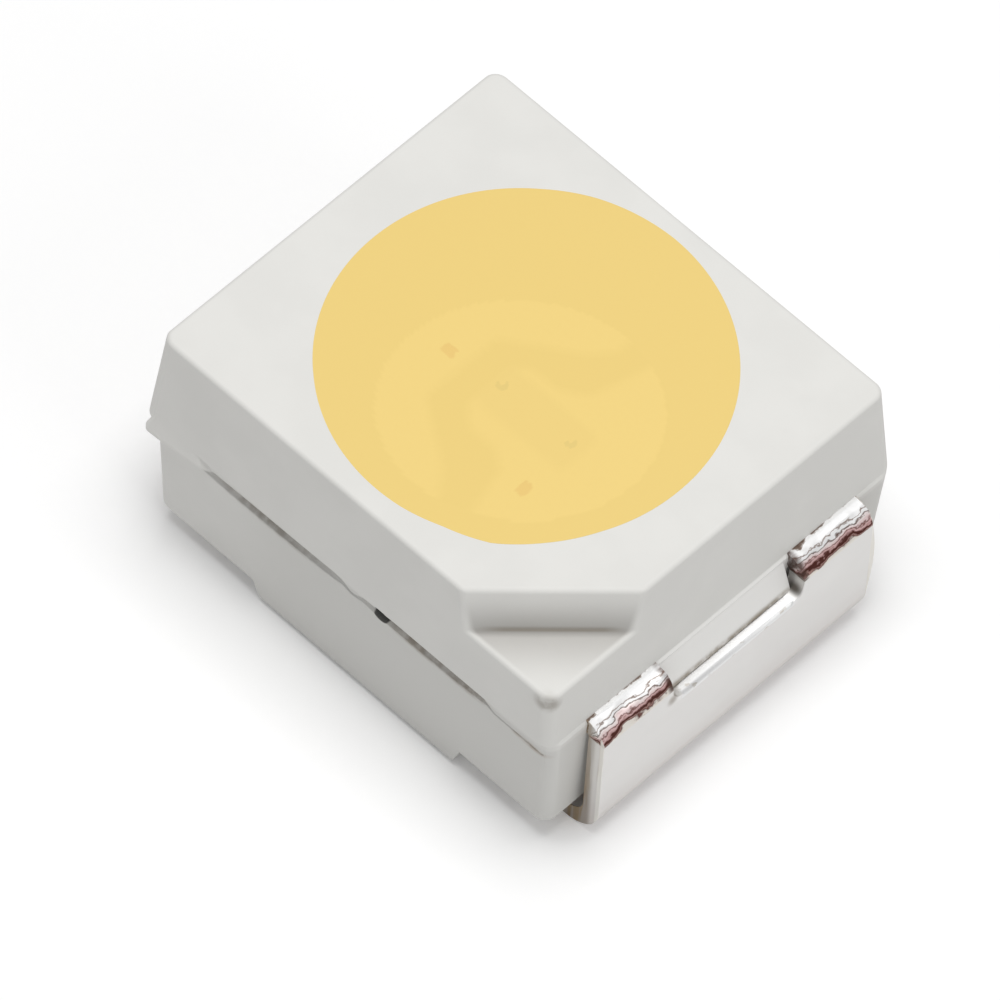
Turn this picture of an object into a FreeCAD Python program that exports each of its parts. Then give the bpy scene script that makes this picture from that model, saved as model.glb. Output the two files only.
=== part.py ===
# A surface-mount light-emitting diode in a moulded two-lead package, 3.5 x 2.8 x 1.8 mm.
#
# A white reflector housing is moulded around a flat lead frame at about half its height. Outside
# the housing each lead is bent down its end face and in under it as a solder foot. The reflector
# cup opens upwards. The chip sits on the tongue of the cathode's pad, two wires join it to the
# pads, and silicone with phosphor in it fills the cup flush with the rim. The corner that is cut
# away at the top marks the cathode.
#
# X runs along the leads with the cathode at +X, Z points up, and the origin is the middle of the
# board under the feet. All lengths are in millimetres and all angles in degrees.

import FreeCAD
import Part
import Sketcher
import math
import os
import re

Vector = FreeCAD.Vector

# Lengths that differ by less than this are the same
SAME = 1e-6

# The driving dimensions: name, value and what it measures
SIZES = [
    ("overall_length", 3.50, "over both leads"),
    ("lead_overhang", 0.15, "a lead's outer face beyond the housing's edge at the parting plane"),
    ("body_width", 2.80, "housing over the parting plane, across the leads"),
    ("package_height", 1.80, "board to top face"),
    ("parting_height", 1.06, "board to the parting plane, which is also the lead frame's upper face"),
    ("upper_draft", 4.4, "lean of the side faces above the parting plane"),
    ("lower_draft", 4.4, "lean of the side faces below it"),
    ("corner_radius", 0.10, "housing's upright edges"),
    ("top_edge_radius", 0.03, "edge round the top face"),
    ("bottom_edge_radius", 0.04, "edges round the underside"),
    ("standoff", 0.06, "board to the middle block's underside"),
    ("block_gap", 0.13, "foot's end to the middle block under the housing"),
    ("middle_lean", 20.0, "lean of the middle block's end walls"),
    ("foot_gap", 0.02, "foot to the housing above it"),
    ("cup_top_diameter", 2.40, "reflector cup at the rim"),
    ("cup_floor_diameter", 1.70, "reflector cup at the pads"),
    ("mark_along", 0.71, "cut corner along X, at the top face"),
    ("mark_across", 0.73, "cut corner along Y, at the top face"),
    ("mark_depth", 0.31, "cut corner below the top face"),
    ("mark_lean", 11.8, "lean of the cut corner's wall"),
    ("lead_width", 2.18, "width of each lead"),
    ("lead_thickness", 0.12, "thickness of the lead frame"),
    ("top_bend_inside", 0.01, "inside radius where a lead turns down"),
    ("foot_bend_inside", 0.13, "inside radius where it turns under"),
    ("foot_length", 0.80, "foot, from the lead's outer face"),
    ("slot_width", 1.06, "slot between a lead's two shoulders"),
    ("slot_drop", 0.25, "slot's lower edge below the parting plane"),
    ("slot_inset", 0.22, "slot's inner edge inside the parting edge"),
    ("slot_radius", 0.10, "corners of the slot's lower edge"),
    ("filler_reach", 0.055, "plastic in the slot, beyond the parting edge"),
    ("filler_clearance", 0.012, "that plastic to the slot's edges"),
    ("pad_gap", 0.235, "anode pad to cathode pad"),
    ("tongue_tip", 0.235, "tip of the cathode's tongue, towards the anode"),
    ("tongue_half", 0.17, "half width of the tip"),
    ("tongue_neck", 0.15, "where the tongue reaches its full width, towards the anode"),
    ("tongue_neck_half", 0.25, "half of that width"),
    ("tongue_root", 0.05, "where the tongue starts to widen into the pad"),
    ("pad_flare", 0.20, "first corner of the flare, along X"),
    ("pad_flare_half", 0.35, "first corner of the flare, along Y"),
    ("pad_edge", 0.30, "the pad's straight edge, along X"),
    ("pad_edge_half", 0.72, "where that edge starts, along Y"),
    ("chip_length", 0.66, "chip along X"),
    ("chip_width", 0.28, "chip along Y"),
    ("chip_height", 0.12, "chip's thickness"),
    ("chip_setback", 0.025, "chip's end behind the tongue's tip"),
    ("glue_thickness", 0.015, "glue under the chip"),
    ("glue_margin", 0.02, "glue around the chip"),
    ("bond_inset", 0.06, "wire balls from the chip's ends"),
    ("wire_diameter", 0.03, "gold wire"),
    ("ball_diameter", 0.08, "flattened ball on the chip"),
    ("ball_height", 0.025, "thickness of the ball"),
    ("ball_chamfer", 0.008, "its squashed edges"),
    ("loop_rise", 0.17, "top of the wire's loop above the chip"),
    ("loop_radius", 0.08, "bend at the top of the loop"),
    ("stitch_length", 0.10, "flattened end of the wire"),
    ("stitch_width", 0.07, "width of that end"),
    ("stitch_thickness", 0.012, "thickness of that end's tip"),
    ("anode_landing", 0.09, "anode wire's end behind its pad's edge"),
    ("cathode_landing", 0.23, "cathode wire's end from the chip's side"),
    ("seam_depth", 0.015, "parting seam into the side at -Y"),
    ("seam_opening", 0.03, "width of the seam"),
    ("seam_left_margin", 0.22, "seam's left end from the housing's corner"),
    ("seam_left_drop", 0.04, "seam's left stretch below the parting plane"),
    ("seam_step_place", 0.06, "where the seam steps down, left of the middle"),
    ("seam_step_length", 0.09, "length of that step along X"),
    ("seam_step_drop", 0.07, "foot of the step below the parting plane"),
    ("seam_right_margin", 0.48, "seam's right end from the housing's corner"),
    ("seam_right_rise", 0.03, "seam's right end above the parting plane"),
    ("pit_place", 0.29, "pit left by the frame's tie bar, from the middle"),
    ("pit_drop", 0.045, "pit's middle below the parting plane"),
    ("pit_width", 0.09, "pit along X"),
    ("pit_height", 0.06, "pit along Z"),
    ("pit_depth", 0.12, "pit into the side"),
    ("flash_reach", 0.045, "thin flash beyond the side at -Y"),
    ("flash_thickness", 0.025, "thickness of the flash"),
    ("flash_start", 0.09, "flash's widest point from the left end"),
    ("flash_length", 0.50, "flash along X"),
]

# Values that follow from the driving dimensions, as formulas for the sheet
PAD_TOP = "parting_height"
PAD_BASE = "(parting_height - lead_thickness)"
LEAD_FACE = "(overall_length / 2)"
BODY_END = f"({LEAD_FACE} - lead_overhang)"
BODY_SIDE = "(body_width / 2)"
TOP_INSET = "((package_height - parting_height) * tan(upper_draft))"
TOP_END = f"({BODY_END} - {TOP_INSET})"
TOP_SIDE = f"({BODY_SIDE} - {TOP_INSET})"
RELIEF_TOP = "(lead_thickness + foot_gap)"
MIDDLE_END = f"({LEAD_FACE} - foot_length - block_gap)"
SEAM_START = f"(seam_left_margin - {BODY_END})"
SEAM_END = f"({BODY_END} - seam_right_margin)"
CHIP_BASE = f"({PAD_TOP} + glue_thickness)"
CHIP_TOP = f"({CHIP_BASE} + chip_height)"
CHIP_START = "(chip_setback - tongue_tip)"
WIRE_DROP = "(chip_height + glue_thickness)"
ANODE_SPAN = "(chip_setback + bond_inset + pad_gap + anode_landing)"
CATHODE_SPAN = "(chip_width / 2 + cathode_landing)"

doc = FreeCAD.newDocument("smd_led")


def make_sheet(rows):
    """Give each driving dimension one row: its name, its value and what it measures."""
    sheet = doc.addObject("Spreadsheet::Sheet", "Sizes")
    for number, (name, value, meaning) in enumerate(rows, start=1):
        sheet.set(f"A{number}", name)
        sheet.set(f"B{number}", str(value))
        sheet.set(f"C{number}", meaning)
        sheet.setAlias(f"B{number}", name)
    doc.recompute()
    return sheet


sheet = make_sheet(SIZES)
names = {name for name, value, meaning in SIZES}


def bound(formula):
    """Point every dimension's name in a formula at its cell in the sheet."""
    return re.sub(r"[a-z_]+", lambda word: f"Sizes.{word[0]}" if word[0] in names else word[0], formula)


def bind(thing, **formulas):
    """Bind properties of an object, such as Length="body_width", to the sheet."""
    for name, formula in formulas.items():
        thing.setExpression(name.replace("__", "."), bound(formula))


def make_body(name):
    return doc.addObject("PartDesign::Body", name)


def make_sketch(body, name, role, offset="0"):
    """Start a sketch on one of the body's own planes, moved along the plane's normal."""
    sketch = body.newObject("Sketcher::SketchObject", name)
    plane = next(item for item in body.Origin.OriginFeatures if item.Role == role)
    sketch.AttachmentSupport = [(plane, "")]
    sketch.MapMode = "FlatFace"
    bind(sketch, AttachmentOffset__Base__z=offset)
    return sketch


def add_datum(sketch, kind, *place, formula, first=1.0):
    """Add one dimension to a sketch and bind it. Only an arc needs a true first value."""
    index = sketch.addConstraint(Sketcher.Constraint(kind, *place, first))
    sketch.setExpression(f"Constraints[{index}]", bound(formula))


def place_point(sketch, edge, end, across, up, first=Vector(1, 1, 0)):
    """Fix one end of an edge by its two distances from the sketch's origin."""
    add_datum(sketch, "DistanceX", -1, 1, edge, end, formula=across, first=first.x)
    add_datum(sketch, "DistanceY", -1, 1, edge, end, formula=up, first=first.y)


def draw_outline(sketch, corners):
    """Draw a closed outline of straight edges through corners given as formulas."""
    count = len(corners)
    turn = 2 * math.pi / count
    first = sketch.GeometryCount
    round_trip = [Vector(math.cos(turn * i), math.sin(turn * i), 0) for i in range(count + 1)]
    for start, end in zip(round_trip, round_trip[1:]):
        sketch.addGeometry(Part.LineSegment(start, end))
    for i in range(count):
        following = first + (i + 1) % count
        sketch.addConstraint(Sketcher.Constraint("Coincident", first + i, 2, following, 1))
    for i, (across, up) in enumerate(corners):
        place_point(sketch, first + i, 1, across, up)


def draw_circle(sketch, diameter):
    """Draw a circle about the sketch's origin."""
    index = sketch.addGeometry(Part.Circle(Vector(0, 0, 0), Vector(0, 0, 1), 1.0))
    sketch.addConstraint(Sketcher.Constraint("Coincident", index, 3, -1, 1))
    add_datum(sketch, "Diameter", index, formula=diameter)


def rectangle(half_across, half_up):
    """The corners of a rectangle about the origin."""
    signs = [("-", "-"), ("", "-"), ("", ""), ("-", "")]
    return [(across + half_across, up + half_up) for across, up in signs]


def settle(body, feature, grows):
    """Recompute, and make sure that the feature added or removed something."""
    before = feature.BaseFeature.Shape.Volume if feature.BaseFeature else 0.0
    doc.recompute()
    body.Tip = feature
    change = feature.Shape.Volume - before
    if (change > 0) != grows or abs(change) < SAME:
        raise RuntimeError(f"{feature.Name} changed the volume by {change}")
    return feature


def add_pad(body, sketch, name, length, taper=None, midplane=False, reverse=False):
    pad = body.newObject("PartDesign::Pad", name)
    pad.Profile = sketch
    pad.Midplane = midplane
    pad.Reversed = reverse
    bind(pad, Length=length)
    if taper:
        bind(pad, TaperAngle=taper)
    return settle(body, pad, grows=True)


def add_pocket(body, sketch, name, length, taper=None, midplane=False, reverse=False):
    pocket = body.newObject("PartDesign::Pocket", name)
    pocket.Profile = sketch
    pocket.Midplane = midplane
    pocket.Reversed = reverse
    bind(pocket, Length=length)
    if taper:
        bind(pocket, TaperAngle=taper)
    return settle(body, pocket, grows=False)


def add_turned(body, sketch, kind, name):
    """Turn a sketch once round its own upright axis, as a Revolution or a Groove."""
    turned = body.newObject(f"PartDesign::{kind}", name)
    turned.Profile = sketch
    turned.ReferenceAxis = (sketch, ["V_Axis"])
    turned.Angle = 360
    return settle(body, turned, grows=kind == "Revolution")


def dress_edges(body, kind, name, chosen, **size):
    """Fillet or chamfer the edges of the body's tip that the function "chosen" accepts."""
    base = body.Tip
    edges = [f"Edge{i}" for i, edge in enumerate(base.Shape.Edges, start=1) if chosen(edge)]
    dressed = body.newObject(f"PartDesign::{kind}", name)
    dressed.Base = (base, edges)
    bind(dressed, **size)
    doc.recompute()
    body.Tip = dressed


def add_fillet(body, name, radius, chosen):
    dress_edges(body, "Fillet", name, chosen, Radius=radius)


def add_mirror(body, feature, name, role):
    """Mirror one feature in one of the body's own planes."""
    mirror = body.newObject("PartDesign::Mirrored", name)
    mirror.Originals = [feature]
    mirror.MirrorPlane = (next(i for i in body.Origin.OriginFeatures if i.Role == role), [""])
    doc.recompute()
    body.Tip = mirror


def worth(name):
    """The present value of one dimension, for picking edges by their place."""
    return float(sheet.get(name))


def is_level_at(edge, height):
    box = edge.BoundBox
    return abs(box.ZMin - height) < SAME and abs(box.ZMax - height) < SAME


def rises(edge):
    """Whether an edge runs more up than along."""
    box = edge.BoundBox
    return box.ZLength > box.XLength + box.YLength


def runs_across_at(edge, across, height):
    """Whether an edge runs along Y at one place in the XZ plane."""
    box = edge.BoundBox
    in_place = abs(box.Center.x - across) < SAME and abs(box.Center.z - height) < SAME
    return in_place and box.XLength + box.ZLength < SAME


def model_housing():
    """The moulding: two drafted halves, the cut corner, the undercut ends, the cup and the fillers."""
    body = make_body("housing_moulding")
    plan = rectangle(BODY_END, BODY_SIDE)

    upper = make_sketch(body, "upper_outline", "XY_Plane", "parting_height")
    draw_outline(upper, plan)
    add_pad(body, upper, "upper_half", "package_height - parting_height", "-upper_draft")
    lower = make_sketch(body, "lower_outline", "XY_Plane", "parting_height")
    draw_outline(lower, plan)
    add_pad(body, lower, "lower_half", "parting_height - standoff", "-lower_draft", reverse=True)
    add_fillet(body, "upright_edges", "corner_radius", rises)

    # The cut corner's triangle is drawn half as large again, to reach past the body on both sides
    mark = make_sketch(body, "mark_outline", "XY_Plane", "package_height")
    outside = f"{TOP_END} + mark_along / 2"
    beyond = f"-{TOP_SIDE} - mark_across / 2"
    draw_outline(mark, [(f"{TOP_END} - mark_along - mark_along / 2", beyond), (outside, beyond),
                        (outside, f"-{TOP_SIDE} + mark_across + mark_across / 2")])
    add_pocket(body, mark, "cathode_mark", "mark_depth", "-mark_lean")
    top = worth("package_height")
    add_fillet(body, "top_edge", "top_edge_radius", lambda edge: is_level_at(edge, top))

    # Both ends are undercut to make room for the feet
    relief = make_sketch(body, "relief_profile", "XZ_Plane")
    draw_outline(relief, [(MIDDLE_END, "0"), (LEAD_FACE, "0"), (LEAD_FACE, RELIEF_TOP),
                          (f"{MIDDLE_END} + {RELIEF_TOP} * tan(middle_lean)", RELIEF_TOP)])
    undercut = add_pocket(body, relief, "cathode_undercut", "body_width * 2", midplane=True)
    add_mirror(body, undercut, "anode_undercut", "YZ_Plane")
    underside = worth("standoff")
    raised = worth("lead_thickness") + worth("foot_gap")
    past_block = worth("overall_length") / 2 - worth("foot_length")
    add_fillet(body, "underside_edges", "bottom_edge_radius",
               lambda edge: is_level_at(edge, underside)
               or (is_level_at(edge, raised) and abs(edge.BoundBox.Center.x) > past_block))

    # The filler leans out over the slot's lower edge between the lead's two shoulders
    filler = make_sketch(body, "filler_profile", "XZ_Plane")
    filler_foot = "parting_height - slot_drop + filler_clearance"
    draw_outline(filler, [(f"{BODY_END} - slot_inset", "parting_height"), (BODY_END, "parting_height"),
                          (f"{BODY_END} + filler_reach", filler_foot),
                          (f"{BODY_END} - slot_inset", filler_foot)])
    plug = add_pad(body, filler, "cathode_slot_filler", "slot_width - filler_clearance * 2", midplane=True)
    add_mirror(body, plug, "anode_slot_filler", "YZ_Plane")

    cup = make_sketch(body, "cup_profile", "XZ_Plane")
    draw_outline(cup, cup_section())
    add_turned(body, cup, "Groove", "reflector_cup")
    cut_seam(body)

    pit = make_sketch(body, "pit_outline", "XZ_Plane", BODY_SIDE)
    left, right = "pit_place - pit_width / 2", "pit_place + pit_width / 2"
    middle = "parting_height - pit_drop"
    low, high = f"{middle} - pit_height / 2", f"{middle} + pit_height / 2"
    draw_outline(pit, [(left, low), (right, low), (right, high), (left, high)])
    add_pocket(body, pit, "tie_bar_pit", "pit_depth")

    # The flash is rooted inside the wall, so that it joins the housing all along
    flash = make_sketch(body, "flash_outline", "XY_Plane", "parting_height - seam_left_drop")
    root = f"-{BODY_SIDE} + corner_radius / 2"
    draw_outline(flash, [(f"-{BODY_END} + corner_radius / 2", root),
                         (f"-{BODY_END} + flash_start", f"-{BODY_SIDE} - flash_reach"),
                         (f"-{BODY_END} + flash_length", f"-{BODY_SIDE} - flash_reach / 3"),
                         (f"-{BODY_END} + flash_length + corner_radius", root)])
    add_pad(body, flash, "flash", "flash_thickness")
    return body


def cup_section():
    """Half the cup's section, which the housing is cut by and the filling is turned from."""
    return [("0", PAD_TOP), ("cup_floor_diameter / 2", PAD_TOP),
            ("cup_top_diameter / 2", "package_height"), ("0", "package_height")]


def cut_seam(body):
    """Cut the V-shaped seam along the side at -Y, with the step that the mould's halves left in it."""
    left = "parting_height - seam_left_drop"
    path = make_sketch(body, "seam_path", "XZ_Plane", BODY_SIDE)
    stops = [(SEAM_START, left), ("-seam_step_place", left),
             ("seam_step_length - seam_step_place", "parting_height - seam_step_drop"),
             (SEAM_END, "parting_height + seam_right_rise")]
    for i, (along, up) in enumerate(stops[:-1]):
        last = path.addGeometry(Part.LineSegment(Vector(i, 0, 0), Vector(i + 1, 0, 0)))
        place_point(path, last, 1, along, up)
        if i:
            path.addConstraint(Sketcher.Constraint("Coincident", last - 1, 2, last, 1))
    place_point(path, last, 2, *stops[-1])

    section = make_sketch(body, "seam_section", "YZ_Plane", SEAM_START)
    outside = f"-{BODY_SIDE} - seam_depth"
    draw_outline(section, [(outside, f"{left} - seam_opening"), (f"-{BODY_SIDE} + seam_depth * 2", left),
                           (outside, f"{left} + seam_opening")])
    seam = body.newObject("PartDesign::SubtractivePipe", "parting_seam")
    seam.Profile = section
    seam.Spine = path
    seam.Transition = "Right corner"
    settle(body, seam, grows=False)


def model_lead(name, side, inner_end, draw_plan):
    """One lead of the frame: a C-shaped strip with bent corners, its pad's plan and its slot."""
    body = make_body(name)
    sign = "" if side > 0 else "-"
    profile = make_sketch(body, f"{name}_profile", "XZ_Plane")
    inside_face = f"({LEAD_FACE} - lead_thickness)"
    foot_end = f"({LEAD_FACE} - foot_length)"
    draw_outline(profile, [(inner_end, PAD_TOP), (f"{sign}{LEAD_FACE}", PAD_TOP), (f"{sign}{LEAD_FACE}", "0"),
                           (f"{sign}{foot_end}", "0"), (f"{sign}{foot_end}", "lead_thickness"),
                           (f"{sign}{inside_face}", "lead_thickness"),
                           (f"{sign}{inside_face}", PAD_BASE), (inner_end, PAD_BASE)])
    add_pad(body, profile, f"{name}_strip", "lead_width", midplane=True)

    outer = side * worth("overall_length") / 2
    inner = outer - side * worth("lead_thickness")
    thick, pad_top = worth("lead_thickness"), worth("parting_height")
    add_fillet(body, f"{name}_top_bend_outside", "top_bend_inside + lead_thickness",
               lambda edge: runs_across_at(edge, outer, pad_top))
    add_fillet(body, f"{name}_top_bend_inside", "top_bend_inside",
               lambda edge: runs_across_at(edge, inner, pad_top - thick))
    add_fillet(body, f"{name}_foot_bend_outside", "foot_bend_inside + lead_thickness",
               lambda edge: runs_across_at(edge, outer, 0.0))
    add_fillet(body, f"{name}_foot_bend_inside", "foot_bend_inside",
               lambda edge: runs_across_at(edge, inner, thick))

    plan = make_sketch(body, f"{name}_plan", "XY_Plane", PAD_TOP)
    draw_plan(plan)
    add_pocket(body, plan, f"{name}_pad", "lead_thickness")

    # The slot was punched while the strip was flat, so it runs over the bend
    slot = make_sketch(body, f"{name}_slot_outline", "YZ_Plane", f"{sign}({BODY_END} - slot_inset)")
    bottom = "parting_height - slot_drop"
    draw_outline(slot, [("-slot_width / 2", bottom), ("slot_width / 2", bottom),
                        ("slot_width / 2", "package_height"), ("-slot_width / 2", "package_height")])
    add_pocket(body, slot, f"{name}_slot", "overall_length", reverse=side > 0)
    slot_low = worth("parting_height") - worth("slot_drop")
    add_fillet(body, f"{name}_slot_corners", "slot_radius",
               lambda edge: is_level_at(edge, slot_low) and edge.BoundBox.YLength < SAME)
    return body


def cathode_pad_edge(side):
    """The cathode pad's inner edge on one side of the middle, from the tongue outwards."""
    sign = "" if side > 0 else "-"
    return [("-tongue_tip", f"{sign}tongue_half"), ("-tongue_neck", f"{sign}tongue_neck_half"),
            ("tongue_root", f"{sign}tongue_neck_half"), ("pad_flare", f"{sign}pad_flare_half"),
            ("pad_edge", f"{sign}pad_edge_half"), ("pad_edge", f"{sign}lead_width")]


def anode_pad_edge(side):
    """The anode pad's inner edge, which keeps the gap all along the cathode's."""
    sign = "" if side > 0 else "-"
    return [("-tongue_tip - pad_gap", f"{sign}(tongue_half + pad_gap / 2)"),
            ("tongue_root - pad_gap", f"{sign}(tongue_neck_half + pad_gap)"),
            ("pad_flare - pad_gap", f"{sign}(pad_flare_half + pad_gap)"),
            ("pad_edge - pad_gap", f"{sign}pad_edge_half")]


def draw_cathode_plan(sketch):
    """What is cut away beside the tongue, once on each side."""
    past_tip = "-tongue_tip - pad_gap"
    for side in (1, -1):
        sign = "" if side > 0 else "-"
        corner = [(past_tip, f"{sign}lead_width"), (past_tip, f"{sign}tongue_half")]
        draw_outline(sketch, cathode_pad_edge(side) + corner)


def draw_anode_plan(sketch):
    """The mouth that the tongue reaches into, cut out of the anode's pad."""
    past_edge = "pad_edge + pad_gap"
    mouth = [(past_edge, "-pad_edge_half"), (past_edge, "pad_edge_half")]
    draw_outline(sketch, anode_pad_edge(1) + mouth[::-1] + anode_pad_edge(-1)[::-1])


def model_block(name, length, width, height, start, base, corner):
    """A flat block centred on the chip, with its upright edges rounded."""
    body = make_body(name)
    sketch = make_sketch(body, f"{name}_outline", "XY_Plane", base)
    end = f"{start} + {length}"
    draw_outline(sketch, [(start, f"-{width} / 2"), (end, f"-{width} / 2"), (end, f"{width} / 2"),
                          (start, f"{width} / 2")])
    add_pad(body, sketch, f"{name}_pad", height)
    if corner:
        add_fillet(body, f"{name}_corners", corner, rises)
    return body


def draw_wire_path(sketch, heel_along, heel_up, reach):
    """The wire's centre line: up from the ball, round one bend and down to its heel on the pad.

    The heel's place is given as formulas, and the reach is its present value along the wire.
    """
    radius = worth("loop_radius")
    start = Vector(0, worth("ball_height") / 2, 0)
    middle = Vector(radius, worth("loop_rise") - radius, 0)
    heel = Vector(reach, -worth("chip_height"), 0)
    fall = heel - middle
    leaves = math.atan2(fall.y, fall.x) + math.acos(radius / fall.Length)
    turn = Vector(math.cos(leaves), math.sin(leaves), 0) * radius

    rising = sketch.addGeometry(Part.LineSegment(start, Vector(0, middle.y, 0)))
    circle = Part.Circle(middle, Vector(0, 0, 1), radius)
    over = sketch.addGeometry(Part.ArcOfCircle(circle, leaves, math.pi))
    falling = sketch.addGeometry(Part.LineSegment(middle + turn, heel))
    sketch.addConstraint(Sketcher.Constraint("Tangent", rising, 2, over, 2))
    sketch.addConstraint(Sketcher.Constraint("Tangent", over, 1, falling, 1))
    sketch.addConstraint(Sketcher.Constraint("Vertical", rising))
    add_datum(sketch, "Radius", over, formula="loop_radius", first=radius)
    add_datum(sketch, "DistanceY", -1, 1, over, 3, formula="loop_rise - loop_radius", first=middle.y)
    place_point(sketch, rising, 1, "0", "ball_height / 2", first=start)
    place_point(sketch, falling, 2, heel_along, heel_up, first=heel)


def model_wire(name, span, reach):
    """One bond wire in its own frame: ball at the origin, run along X, drop to the pad."""
    body = make_body(name)
    ball = make_sketch(body, f"{name}_ball_outline", "XY_Plane")
    draw_circle(ball, "ball_diameter")
    add_pad(body, ball, f"{name}_ball", "ball_height")
    dress_edges(body, "Chamfer", f"{name}_ball_edges", lambda edge: edge.BoundBox.ZLength < SAME,
                Size="ball_chamfer")

    # The tool squashes the wire's end into a wedge that thins towards its tip
    stitch = make_sketch(body, f"{name}_stitch_profile", "XZ_Plane")
    near, far = f"{span} - stitch_length / 2", f"{span} + stitch_length / 2"
    pad = f"-{WIRE_DROP}"
    draw_outline(stitch, [(near, pad), (far, pad), (far, f"{pad} + stitch_thickness"),
                          (near, f"{pad} + wire_diameter")])
    add_pad(body, stitch, f"{name}_stitch", "stitch_width", midplane=True)

    path = make_sketch(body, f"{name}_path", "XZ_Plane")
    draw_wire_path(path, f"{near} + wire_diameter / 2", f"{pad} + wire_diameter / 2", reach)
    section = make_sketch(body, f"{name}_section", "XY_Plane", "ball_height / 2")
    draw_circle(section, "wire_diameter")
    wire = body.newObject("PartDesign::AdditivePipe", f"{name}_loop")
    wire.Profile = section
    wire.Spine = path
    settle(body, wire, grows=True)
    return body


def place(thing, turn, **where):
    """Turn a sub-part about Z, then move it to its place."""
    thing.Placement = FreeCAD.Placement(Vector(0, 0, 0), FreeCAD.Rotation(Vector(0, 0, 1), turn))
    for axis, formula in where.items():
        thing.setExpression(f"Placement.Base.{axis}", bound(formula))


def cut_by(name, base, tools):
    """Cut several sub-parts out of one, and leave them whole."""
    held = doc.addObject("Part::MultiFuse", f"{name}_inserts")
    held.Shapes = tools
    cut = doc.addObject("Part::Cut", name)
    cut.Base = base
    cut.Tool = held
    return cut


# Lead frame
cathode_lead = model_lead("cathode_lead", 1, "-tongue_tip", draw_cathode_plan)
anode_lead = model_lead("anode_lead", -1, "pad_edge - pad_gap", draw_anode_plan)

# Chip, glue and wires
glue = model_block("die_attach_glue", "(chip_length + glue_margin * 2)", "(chip_width + glue_margin * 2)",
                   "glue_thickness", f"({CHIP_START} - glue_margin)", PAD_TOP, "glue_margin")
chip = model_block("led_chip", "chip_length", "chip_width", "chip_height", CHIP_START, CHIP_BASE, None)

anode_reach = sum(worth(name) for name in ("chip_setback", "bond_inset", "pad_gap", "anode_landing"))
anode_wire = model_wire("anode_bond_wire", ANODE_SPAN, anode_reach)
place(anode_wire, 180, x=f"{CHIP_START} + bond_inset", z=CHIP_TOP)

cathode_reach = worth("chip_width") / 2 + worth("cathode_landing")
cathode_wire = model_wire("cathode_bond_wire", CATHODE_SPAN, cathode_reach)
place(cathode_wire, -90, x=f"{CHIP_START} + chip_length - bond_inset", z=CHIP_TOP)

# The housing is moulded around the leads, and the filling is cast over the chip and its wires
housing = cut_by("housing", model_housing(), [cathode_lead, anode_lead])

filling_body = make_body("filling_blank")
filling_sketch = make_sketch(filling_body, "filling_profile", "XZ_Plane")
draw_outline(filling_sketch, cup_section())
add_turned(filling_body, filling_sketch, "Revolution", "filling_turned")
filling = cut_by("phosphor_filling", filling_body, [glue, chip, anode_wire, cathode_wire])
doc.recompute()

sub_parts = [housing, anode_lead, cathode_lead, chip, glue, anode_wire, cathode_wire, filling]


def check(things):
    """Stop before anything is written if an object failed or a sub-part isn't one sound solid."""
    for thing in doc.Objects:
        if "Invalid" in thing.State or "Error" in thing.State:
            raise RuntimeError(f"{thing.Label} failed: {thing.State}")
    for thing in things:
        shape = thing.Shape
        if shape.isNull() or not shape.isValid() or len(shape.Solids) != 1:
            raise RuntimeError(f"{thing.Label} isn't one valid solid")


check(sub_parts)
os.makedirs("parts", exist_ok=True)
for sub_part in sub_parts:
    sub_part.Shape.exportStep(f"parts/{sub_part.Label}.step")
    box = sub_part.Shape.BoundBox
    spans = [f"{low:.3f} to {high:.3f}" for low, high in
             ((box.XMin, box.XMax), (box.YMin, box.YMax), (box.ZMin, box.ZMax))]
    print(sub_part.Label, f"{sub_part.Shape.Volume:.5f} mm3", *spans)
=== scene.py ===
# %% [markdown]
# # A surface-mount LED in a moulded two-lead package
#
# The real part is 3.5 mm long. A white reflector housing is moulded around a flat lead frame, the
# leads are bent down its end faces and in under it, and a cup in its top is filled flush with
# yellow silicone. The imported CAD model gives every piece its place. Its meshes are too coarse for
# a close view, so the pieces that show are modelled again here, finer and at the same place.

import math

import bmesh
import bpy
from mathutils import Matrix, Vector
from mathutils.bvhtree import BVHTree
from mathutils.noise import fractal


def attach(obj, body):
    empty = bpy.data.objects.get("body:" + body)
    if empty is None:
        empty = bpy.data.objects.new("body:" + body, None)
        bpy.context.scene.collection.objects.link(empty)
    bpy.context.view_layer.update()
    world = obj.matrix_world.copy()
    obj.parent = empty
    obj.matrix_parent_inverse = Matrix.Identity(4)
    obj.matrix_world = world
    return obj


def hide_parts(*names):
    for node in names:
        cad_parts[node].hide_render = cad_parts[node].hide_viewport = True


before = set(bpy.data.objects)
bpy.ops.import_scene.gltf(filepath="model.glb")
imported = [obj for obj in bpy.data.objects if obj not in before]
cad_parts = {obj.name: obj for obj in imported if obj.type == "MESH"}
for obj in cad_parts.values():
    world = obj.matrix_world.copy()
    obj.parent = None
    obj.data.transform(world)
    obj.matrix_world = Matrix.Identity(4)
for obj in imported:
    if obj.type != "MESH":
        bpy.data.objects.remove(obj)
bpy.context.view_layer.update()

# %% [markdown]
# ## Camera
#
# The photograph was taken from above the front corner with a long lens. Its direction was found
# by fitting the known package size to the corners in the picture. A camera matrix has its three
# axes as columns: right, up, and back towards the photographer.

# %% Point the camera
VIEW_AZIMUTH = math.radians(40.91)
VIEW_ELEVATION = math.radians(55.91)
VIEW_ROLL = math.radians(4.35)
VIEW_DISTANCE = 0.0911
TARGET_HEIGHT = 0.00095
TARGET_RIGHT, TARGET_UP = -0.0000767, -0.0002986
FOCAL_PIXELS, PICTURE_PIXELS = 16101, 1000
SENSOR_WIDTH = 36.0

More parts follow.
